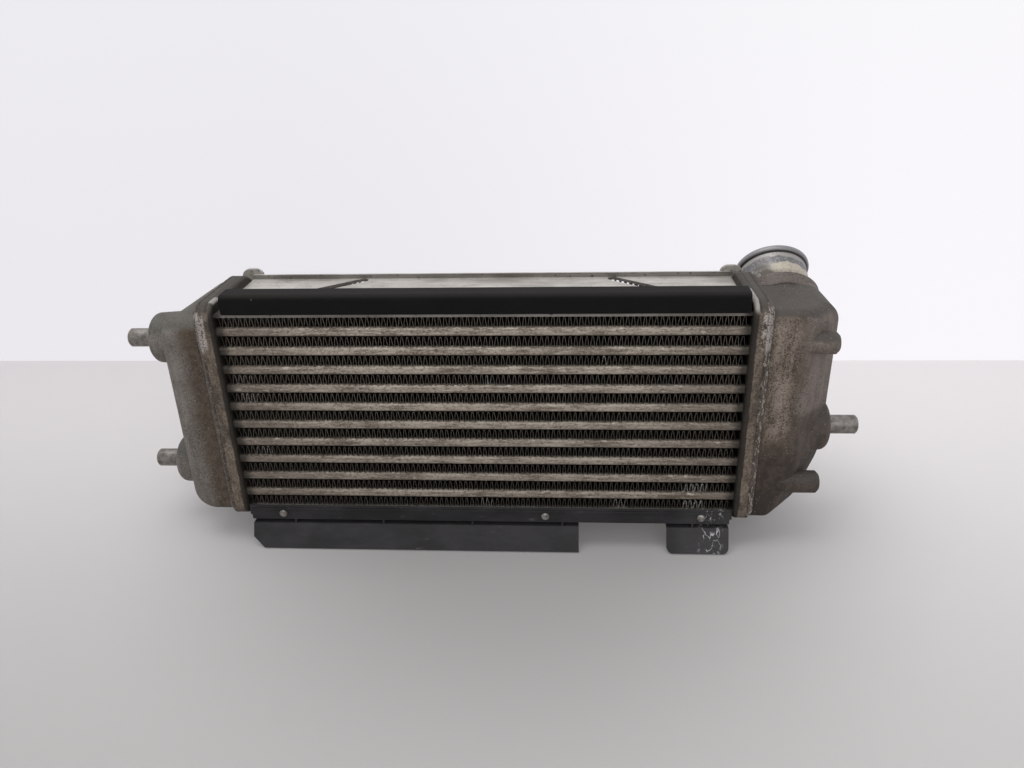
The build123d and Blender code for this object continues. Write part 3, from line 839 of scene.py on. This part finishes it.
@dataclass
class Core:
    """Tubes, folded fins and side plates.

    A fin row is drawn in four sections from front to back: one at each face and two between,
    which lie dent_sections times dent_depth behind the front. In a dent each section leans
    over by its share in dent_leans.
    """

    rows: int = 11
    pitch: float = 4.0 * MM
    crest_half_width: float = 0.62 * MM
    crest_height: float = 0.95 * MM
    sheet: float = 0.26 * MM
    wander: float = 0.16 * MM
    crest_steps: int = 5
    crest_spread: tuple[float, float] = (0.85, 1.2)
    dent_depth: float = 2.4 * MM
    dent_sections: tuple[float, ...] = (0.6, 2.0)
    dent_leans: tuple[float, ...] = (1.0, 0.45, 0.0, 0.0)
    dent_calm: float = 0.6
    push_spread: tuple[float, float] = (0.4, 1.2)
    shine_spread: tuple[float, float] = (0.3, 1.0)
    dents: tuple[Dent, ...] = (
        Dent(10, 149.0 * MM, 169.0 * MM, 1.5 * MM, 0.9),
        Dent(11, 151.0 * MM, 168.0 * MM, 1.3 * MM, 0.8),
        Dent(11, 99.0 * MM, 109.0 * MM, -1.2 * MM, 0.75),
        Dent(11, -5.0 * MM, 5.0 * MM, 1.2 * MM, 0.7),
        Dent(3, 88.0 * MM, 91.0 * MM, 0.9 * MM, 0.9),
        Dent(4, 5.0 * MM, 8.0 * MM, -0.9 * MM, 0.9),
        Dent(4, -183.0 * MM, -170.0 * MM, 0.8 * MM, 0.45),
        Dent(5, -180.0 * MM, -166.0 * MM, -0.8 * MM, 0.45),
        Dent(8, -178.0 * MM, -164.0 * MM, 0.9 * MM, 0.5),
    )
    seed: int = 7

    def centreline(
        self, length: float, height: float, chance: random.Random,
    ) -> list[tuple[float, float]]:
        """The folded sheet's middle line seen from the front.

        Args:
            length: Length of the row.
            height: Height between the tubes.
            chance: Source of the small differences between folds.

        Returns:
            Points (x, z) about the row's centre.
        """
        folds = 2 * int(length / self.pitch)
        half = height / 2 - self.sheet / 2
        start = -folds * self.pitch / 4
        points = []
        for fold in range(folds):
            side = 1 if fold % 2 == 0 else -1
            stray = chance.uniform(-self.wander, self.wander)
            middle = start + (fold + 0.5) * self.pitch / 2 + stray
            reach = self.crest_half_width * chance.uniform(*self.crest_spread)
            for step in range(self.crest_steps):
                turn = math.pi * step / (self.crest_steps - 1)
                points.append((
                    middle - reach * math.cos(turn),
                    side * (half - self.crest_height * (1 - math.sin(turn))),
                ))
        return points

    def row_mesh(self, row: int, low: Vector, high: Vector,
                 material: bpy.types.Material) -> bpy.types.Object:
        """Build one row of fins in place of its CAD node.

        Args:
            row: Row number from the top, starting at 1.
            low: The CAD node's lowest corner.
            high: The CAD node's highest corner.
            material: The fins' finish.

        Returns:
            The new piece.
        """
        chance = random.Random(self.seed + row)
        middle_x = (low[0] + high[0]) / 2
        middle_z = (low[2] + high[2]) / 2
        line = self.centreline(high[0] - low[0], high[2] - low[2], chance)
        between = (low[1] + share * self.dent_depth for share in self.dent_sections)
        sections = (low[1], *between, high[1])
        vertices: list[Point] = []
        # Strength of the painted highlight at each point.
        worn: list[float] = []
        count = len(line)
        for index, (x, z) in enumerate(line):
            before = line[max(index - 1, 0)]
            after = line[min(index + 1, count - 1)]
            run = Vector((after[0] - before[0], after[1] - before[1])).normalized()
            offset = Vector((-run.y, run.x)) * self.sheet / 2
            dent = next((d for d in self.dents if d.row == row and d.start <= x <= d.end), None)
            push = dent.push * chance.uniform(*self.push_spread) if dent else 0.0
            shine = dent.shine * chance.uniform(*self.shine_spread) if dent else 0.0
            calm = 1 - abs(z) / ((high[2] - low[2]) / 2) * self.dent_calm
            for y, lean in zip(sections, self.dent_leans):
                for side in (1, -1):
                    vertices.append((
                        middle_x + x + side * offset.x + push * lean * calm,
                        y, middle_z + z + side * offset.y,
                    ))
                    worn.append(shine * lean)
        faces = self._skin(count, len(sections))
        piece = mesh_piece(f"fin_row_{row:02d}", vertices, faces, material)
        layer = piece.data.attributes.new("worn", "FLOAT", "POINT")
        layer.data.foreach_set("value", worn)
        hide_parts(f"fin_{row:02d}")
        return piece

    @staticmethod
    def _skin(count: int, depth: int) -> list[tuple[int, ...]]:
        """Faces of a folded sheet.

        Args:
            count: Number of points along the fold line.
            depth: Number of sections at each point, with two sides each.

        Returns:
            Corner numbers of each face.
        """
        def at(index: int, section: int, side: int) -> int:
            """Number of one corner."""
            return (index * depth + section) * 2 + side
        faces: list[tuple[int, ...]] = []
        for index in range(count - 1):
            for section in range(depth - 1):
                faces.append((at(index, section, 0), at(index, section + 1, 0),
                              at(index + 1, section + 1, 0), at(index + 1, section, 0)))
                faces.append((at(index, section, 1), at(index + 1, section, 1),
                              at(index + 1, section + 1, 1), at(index, section + 1, 1)))
            last = depth - 1
            faces.append((at(index, 0, 0), at(index + 1, 0, 0),
                          at(index + 1, 0, 1), at(index, 0, 1)))
            faces.append((at(index, last, 0), at(index, last, 1),
                          at(index + 1, last, 1), at(index + 1, last, 0)))
        for index in (0, count - 1):
            for section in range(depth - 1):
                ring = (at(index, section, 0), at(index, section, 1),
                        at(index, section + 1, 1), at(index, section + 1, 0))
                faces.append(ring if index == 0 else ring[::-1])
        return faces

    def build(self) -> None:
        """Build the fins and dress the tubes and plates."""
        low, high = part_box("fin_01")
        centre_x, half = (low[0] + high[0]) / 2, (high[0] - low[0]) / 2
        fin_metal = FinMetal("fin_metal", low[1], centre_x, half).build()
        for row in range(1, self.rows + 1):
            low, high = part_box(f"fin_{row:02d}")
            self.row_mesh(row, Vector(low), Vector(high), fin_metal)
        tube_metal = TubeMetal("tube_metal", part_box("tube_01")[0][1], centre_x, half)
        dress([f"tube_{n:02d}" for n in range(1, self.rows)], tube_metal.build())
        dress([f"turbulator_{n:02d}" for n in range(1, self.rows)], fin_metal)
        low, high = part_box("top_side_plate")
        middle, half = (low[0] + high[0]) / 2, (high[0] - low[0]) / 2
        plate = PlateMetal("plate_metal", low[1], middle, half)
        dress(["top_side_plate", "bottom_side_plate"], plate.build())


@dataclass
class Ends:
    """Header pans, cast tanks, their welds, pins and pipes."""

    weld_radius: float = 1.5 * MM
    weld_ripple: float = 3.4 * MM
    weld_step: float = 0.8 * MM
    weld_sides: int = 8
    fewest_turn_steps: int = 3
    weld_swell: tuple[float, float] = (0.8, 1.2)
    weld_settle: float = 0.25
    ripple_height: float = 0.16
    weld_flat: float = 0.9
    weld_out: float = 1.2 * MM
    weld_inset: float = 1.3 * MM
    front_corner: float = 12.0 * MM
    back_corner: float = 24.0 * MM
    pipe_tilt: float = math.radians(32)
    header_length: float = 9.5 * MM
    crease_in: float = 27.8 * MM
    rim_in: float = 14.6 * MM
    rim_under: float = 23.8 * MM
    seed: int = 21

    def weld_path(self, low: Vector, high: Vector) -> list[tuple[float, float, float, float]]:
        """The weld's middle line round the header's rim.

        Args:
            low: The header's lowest corner.
            high: The header's highest corner.

        Returns:
            Points (y, z), each with its outward direction (y, z).
        """
        near, far = self.front_corner - self.weld_inset, self.back_corner - self.weld_inset
        y0, y1 = low.y + self.weld_inset, high.y - self.weld_inset
        z0, z1 = low.z + self.weld_inset, high.z - self.weld_inset
        corners = (
            (y1 - far, z1 - far, 0.0, far), (y0 + near, z1 - near, 90.0, near),
            (y0 + near, z0 + near, 180.0, near), (y1 - far, z0 + far, 270.0, far),
        )
        path: list[tuple[float, float, float, float]] = []
        for number, (y, z, start, radius) in enumerate(corners):
            turn_steps = int(radius * math.pi / 2 / self.weld_step)
            turn_steps = max(turn_steps, self.fewest_turn_steps)
            for step in range(turn_steps + 1):
                angle = math.radians(start + 90 * step / turn_steps)
                path.append((y + radius * math.cos(angle), z + radius * math.sin(angle),
                             math.cos(angle), math.sin(angle)))
            after = corners[(number + 1) % 4]
            angle = math.radians(start + 90)
            end = (after[0] + after[3] * math.cos(angle), after[1] + after[3] * math.sin(angle))
            begin = path[-1]
            run = math.hypot(end[0] - begin[0], end[1] - begin[1])
            steps = int(run / self.weld_step)
            for step in range(1, steps):
                share = step / steps
                path.append((begin[0] + (end[0] - begin[0]) * share,
                             begin[1] + (end[1] - begin[1]) * share,
                             math.cos(angle), math.sin(angle)))
        return path

    def weld(
        self, name: str, header: str, outward: int, material: bpy.types.Material,
    ) -> bpy.types.Object:
        """Lay a rippled weld between a header and its tank.

        Args:
            name: The piece's name.
            header: The CAD node whose rim it follows.
            outward: +1 where the tank lies towards +X, -1 where it lies towards -X.
            material: The weld's finish.

        Returns:
            The new piece.
        """
        low, high = (Vector(corner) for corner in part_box(header))
        rim_x = high.x if outward > 0 else low.x
        chance = random.Random(self.seed + outward)
        path = self.weld_path(low, high)
        vertices: list[Point] = []
        swell = 1.0
        for index, (y, z, out_y, out_z) in enumerate(path):
            swell += (chance.uniform(*self.weld_swell) - swell) * self.weld_settle
            phase = index * self.weld_step / self.weld_ripple
            ripple = 1 + self.ripple_height * abs(math.sin(math.pi * phase))
            radius = self.weld_radius * swell * ripple
            for side in range(self.weld_sides):
                angle = 2 * math.pi * side / self.weld_sides
                out = radius * math.cos(angle) * self.weld_flat
                along = radius * math.sin(angle)
                vertices.append((rim_x + outward * (self.weld_out + along * self.weld_flat),
                                 y + out_y * out, z + out_z * out))
        count = len(path)
        faces = []
        for index in range(count):
            following = (index + 1) % count
            for side in range(self.weld_sides):
                beside = (side + 1) % self.weld_sides
                ring = (index * self.weld_sides + side, index * self.weld_sides + beside,
                        following * self.weld_sides + beside, following * self.weld_sides + side)
                faces.append(ring if outward > 0 else ring[::-1])
        piece = mesh_piece(name, vertices, faces, material)
        piece.data.shade_smooth()
        return piece

    def build(self) -> None:
        """Dress the CAD nodes and lay both welds."""
        boss_low, boss_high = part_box("right_pin")
        boss_z = (boss_low[2] + boss_high[2]) / 2
        for side, outward, ragged, marks, tank in (
            ("left", -1, 0.25, dict(bend_shade_depth=2.0 * MM, pale_from=10 * MM, pale_to=19 * MM),
             dict(grey_from=14 * MM, field=0.0, grime=0.0, top=tone(96, 94, 88), shine=0.7,
                  grey=tone(136, 130, 124), grey_dark=tone(102, 96, 90))),
            ("right", 1, 0.8, dict(bend_shade_depth=3.2 * MM, pale_from=-2 * MM, pale_to=32 * MM),
             dict(grey_from=22 * MM, field=1.0, grime=1.0, top=tone(78, 73, 69), shine=0.95,
                  grey=tone(132, 121, 115), grey_dark=tone(98, 88, 81))),
        ):
            node = side + "_header"
            low, high = (Vector(corner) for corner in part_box(node))
            rim_x = high.x if outward > 0 else low.x
            header = HeaderSheet(node + "_sheet", rim_x - outward * self.header_length, outward,
                                 low.y, high.y, high.z, **marks)
            dress([node], header.build())
            casting = CastAluminium(side + "_casting", rim_x, outward, high.z,
                                    boss_below=high.z - boss_z,
                                    crease_y=high.y - self.crease_in, **tank)
            dress([side + "_tank"], casting.build())
            bead = WeldMetal(node + "_weld_metal", high.z, ragged)
            self.weld(node + "_weld", node, outward, bead.build())
        dress(["left_upper_pin", "left_lower_pin", "right_pin"], TurnedSteel("pin_steel").build())
        for node, up in (("outlet_pipe", 1), ("inlet_pipe", -1)):
            low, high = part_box(node)
            along = (0.0, math.cos(self.pipe_tilt), up * math.sin(self.pipe_tilt))
            edge_z = high[2] if up > 0 else low[2]
            rim = ((low[0] + high[0]) / 2, high[1] - self.rim_in, edge_z - up * self.rim_under)
            dress([node], PipeMetal(node + "_metal", rim, along).build())


@dataclass
class Trim:
    """Foam seal, air deflector and rivets."""

    scratch_from_right: float = 14.0 * MM
    scuff_in: float = 24.0 * MM
    scuff_behind: float = 1.0 * MM
    scuff_under: float = 3.0 * MM

    def build(self) -> None:
        """Dress the trim."""
        low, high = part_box("foam_seal")
        scuff_place = (
            low[0] + self.scuff_in, low[1] + self.scuff_behind, high[2] - self.scuff_under,
        )
        dress(["foam_seal"], FoamRubber(scuff_place=scuff_place).build())
        _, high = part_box("air_deflector")
        plastic = DeflectorPlastic("deflector_plastic", high[0] - self.scratch_from_right)
        dress(["air_deflector"], plastic.build())
        dress(["rivet_left", "rivet_middle", "rivet_right"],
              TurnedSteel("rivet_metal", bright=tone(176, 174, 171)).build())


@dataclass
class Studio:
    """Pale table and wall, soft lamps and the camera."""

    table_half: float = 3.0
    wall_y: float = 0.289
    wall_height: float = 3.0
    # Table tones far left, far right, near left and near right; the drop to the near edge and to
    # the left is painted light falloff.
    table: tuple[Colour, ...] = (
        tone(218, 215, 216), tone(233, 230, 231), tone(180, 178, 177), tone(194, 192, 191),
    )
    # Wall tones in the same order; the drop to the left is painted light falloff.
    wall: tuple[Colour, ...] = (
        tone(239, 238, 242), tone(250, 249, 252), tone(237, 235, 240), tone(251, 249, 253),
    )
    camera_place: Point = (0.05938, -0.61239, 0.38697)
    camera_right: Point = (0.9978, 0.0603, -0.0265)
    camera_down: Point = (0.0013, -0.4209, -0.9071)
    camera_ahead: Point = (-0.0658, 0.9051, -0.4201)
    ceiling_place: Point = (-0.3, -0.1, 1.7)
    front_place: Point = (0.5, -1.6, 1.1)
    lit_point: Point = (0.0, 0.0, 0.1)
    room_light: float = 0.55
    lens_mm: float = 28.37
    sensor_mm: float = 36.0

    def ground(self) -> None:
        """Lay the table and stand the wall behind it."""
        half, wall, top = self.table_half, self.wall_y, self.wall_height
        table = self._sheet("table", ((-half, -half, 0), (half, -half, 0),
                                      (half, wall, 0), (-half, wall, 0)))
        # The table carries a painted shadow pool under the part.
        table.data.materials.append(PlainGround(
            "table_board", *self.table, near_at=-0.42, far_at=0.26, axis="Y", glow=0.2,
            shade_depth=0.55).build())
        back = self._sheet("wall", ((-half, wall, 0), (half, wall, 0),
                                    (half, wall, top), (-half, wall, top)))
        back.data.materials.append(PlainGround(
            "wall_board", *self.wall, near_at=0.1, far_at=0.5, axis="Z", glow=0.92).build())

    @staticmethod
    def _sheet(name: str, corners: Sequence[Point]) -> bpy.types.Object:
        """Make a sheet that is part of the stage.

        Args:
            name: The sheet's name.
            corners: Its four corners in metres.

        Returns:
            The new object.
        """
        mesh = bpy.data.meshes.new(name)
        mesh.from_pydata(list(corners), [], [(0, 1, 2, 3)])
        sheet = bpy.data.objects.new(name, mesh)
        bpy.context.scene.collection.objects.link(sheet)
        return sheet

    def lamp(self, name: str, place: Point, target: Point, size: float, watts: float) -> None:
        """Hang a soft square lamp.

        Args:
            name: The lamp's name.
            place: Where it hangs, in metres.
            target: The point that it faces.
            size: Length of its side in metres.
            watts: Its power.
        """
        data = bpy.data.lights.new(name, "AREA")
        data.size = size
        data.energy = watts
        lamp = bpy.data.objects.new(name, data)
        lamp.location = place
        lamp.rotation_euler = (Vector(target) - Vector(place)).to_track_quat("-Z", "Y").to_euler()
        bpy.context.scene.collection.objects.link(lamp)

    def lights(self) -> None:
        """Hang the lamps and set the room's even light."""
        self.lamp("ceiling_lamp", self.ceiling_place, self.lit_point, size=1.3, watts=16.0)
        self.lamp("front_lamp", self.front_place, self.lit_point, size=1.2, watts=7.0)
        world = bpy.data.worlds.new("room")
        world.use_nodes = True
        shade = world.node_tree.nodes["Background"]
        shade.inputs["Color"].default_value = (1.0, 1.0, 1.0, 1.0)
        shade.inputs["Strength"].default_value = self.room_light
        bpy.context.scene.world = world

    def camera(self) -> None:
        """Place the camera."""
        data = bpy.data.cameras.new("camera")
        data.lens = self.lens_mm
        data.sensor_width = self.sensor_mm
        camera = bpy.data.objects.new("camera", data)
        right, up = Vector(self.camera_right), -Vector(self.camera_down)
        back = -Vector(self.camera_ahead)
        turn = Matrix((right, up, back)).transposed()
        camera.matrix_world = Matrix.Translation(self.camera_place) @ turn.to_4x4()
        bpy.context.scene.collection.objects.link(camera)
        bpy.context.scene.camera = camera

    def build(self) -> None:
        """Build the whole studio."""
        self.ground()
        self.lights()
        self.camera()
        bpy.context.scene.view_settings.view_transform = "Standard"


def main() -> None:
    """Build everything."""
    logging.basicConfig(level=logging.INFO, format="%(message)s")
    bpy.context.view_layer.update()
    for part in (Core(), Ends(), Trim(), Studio()):
        part.build()
        LOG.info("%s is done", type(part).__name__)


if __name__ == "__main__":
    main()
